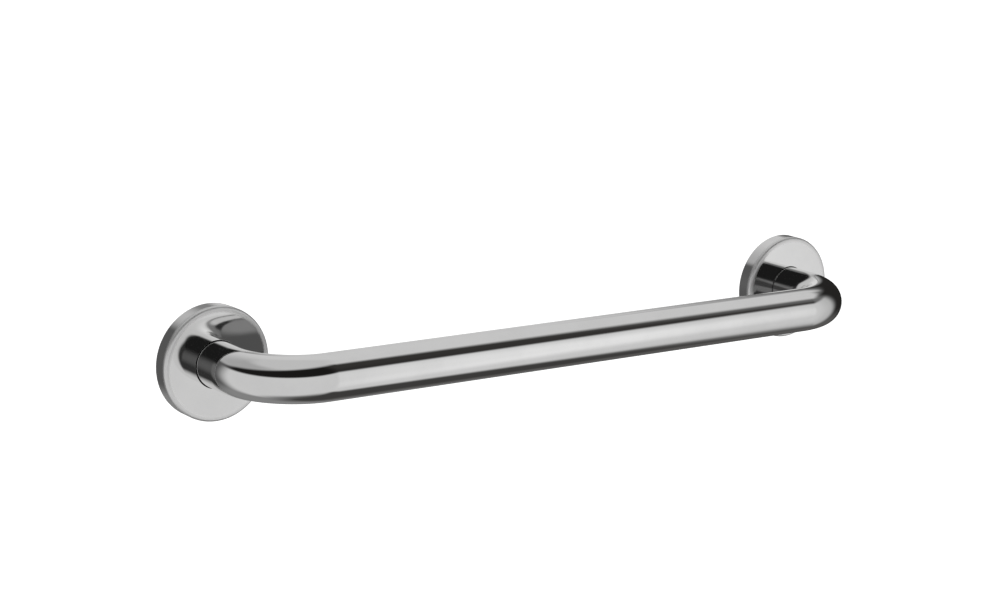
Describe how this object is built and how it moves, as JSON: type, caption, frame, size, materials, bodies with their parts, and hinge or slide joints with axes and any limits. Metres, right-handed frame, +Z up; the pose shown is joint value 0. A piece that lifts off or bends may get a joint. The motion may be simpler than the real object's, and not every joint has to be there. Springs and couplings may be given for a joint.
{
  "type": "grab rail",
  "caption": "Wall-mounted grab rail: one polished round tube bent square at both ends, with round covers over concealed screw flanges.",
  "frame": {"origin": "on the wall's surface, midway between the two flanges", "axes": "+X along the bar, +Y into the wall, +Z up; the bar stands off to -Y"},
  "size_m": [0.578, 0.1065, 0.078],
  "materials": {
    "polished_tube": "mirror polished stainless steel",
    "polished_cover": "mirror polished stainless steel",
    "flange_steel": "brushed stainless steel",
    "weld_steel": "rippled weld bead, slightly tinted by heat",
    "screw_steel": "rolled stainless steel",
    "washer_steel": "stamped stainless steel",
    "gasket_rubber": "matt EPDM sheet",
    "oring_rubber": "satin nitrile"
  },
  "bodies": {
    "rail": {"rail_tube": "polished_tube", "left_flange": "flange_steel", "left_weld": "weld_steel", "left_gasket": "gasket_rubber", "left_screw_outer": "screw_steel", "left_screw_upper": "screw_steel", "left_screw_lower": "screw_steel", "left_washer_outer": "washer_steel", "left_washer_upper": "washer_steel", "left_washer_lower": "washer_steel", "right_flange": "flange_steel", "right_weld": "weld_steel", "right_gasket": "gasket_rubber", "right_screw_outer": "screw_steel", "right_screw_upper": "screw_steel", "right_screw_lower": "screw_steel", "right_washer_outer": "washer_steel", "right_washer_upper": "washer_steel", "right_washer_lower": "washer_steel"},
    "left_ring_body": {"left_cover_oring": "oring_rubber"},
    "left_cover_body": {"left_cover": "polished_cover"},
    "right_ring_body": {"right_cover_oring": "oring_rubber"},
    "right_cover_body": {"right_cover": "polished_cover"}
  },
  "joints": [
    {"name": "left_cover_slide", "type": "slide", "parent": "rail", "child": "left_ring_body", "axis": [0, -1, 0], "range_m": [0, 0.019]},
    {"name": "left_cover_turn", "type": "hinge", "parent": "left_ring_body", "child": "left_cover_body", "pos_m": [-0.25, 0, 0], "axis": [0, -1, 0], "continuous": true},
    {"name": "right_cover_slide", "type": "slide", "parent": "rail", "child": "right_ring_body", "axis": [0, -1, 0], "range_m": [0, 0.019]},
    {"name": "right_cover_turn", "type": "hinge", "parent": "right_ring_body", "child": "right_cover_body", "pos_m": [0.25, 0, 0], "axis": [0, -1, 0], "continuous": true}
  ]
}
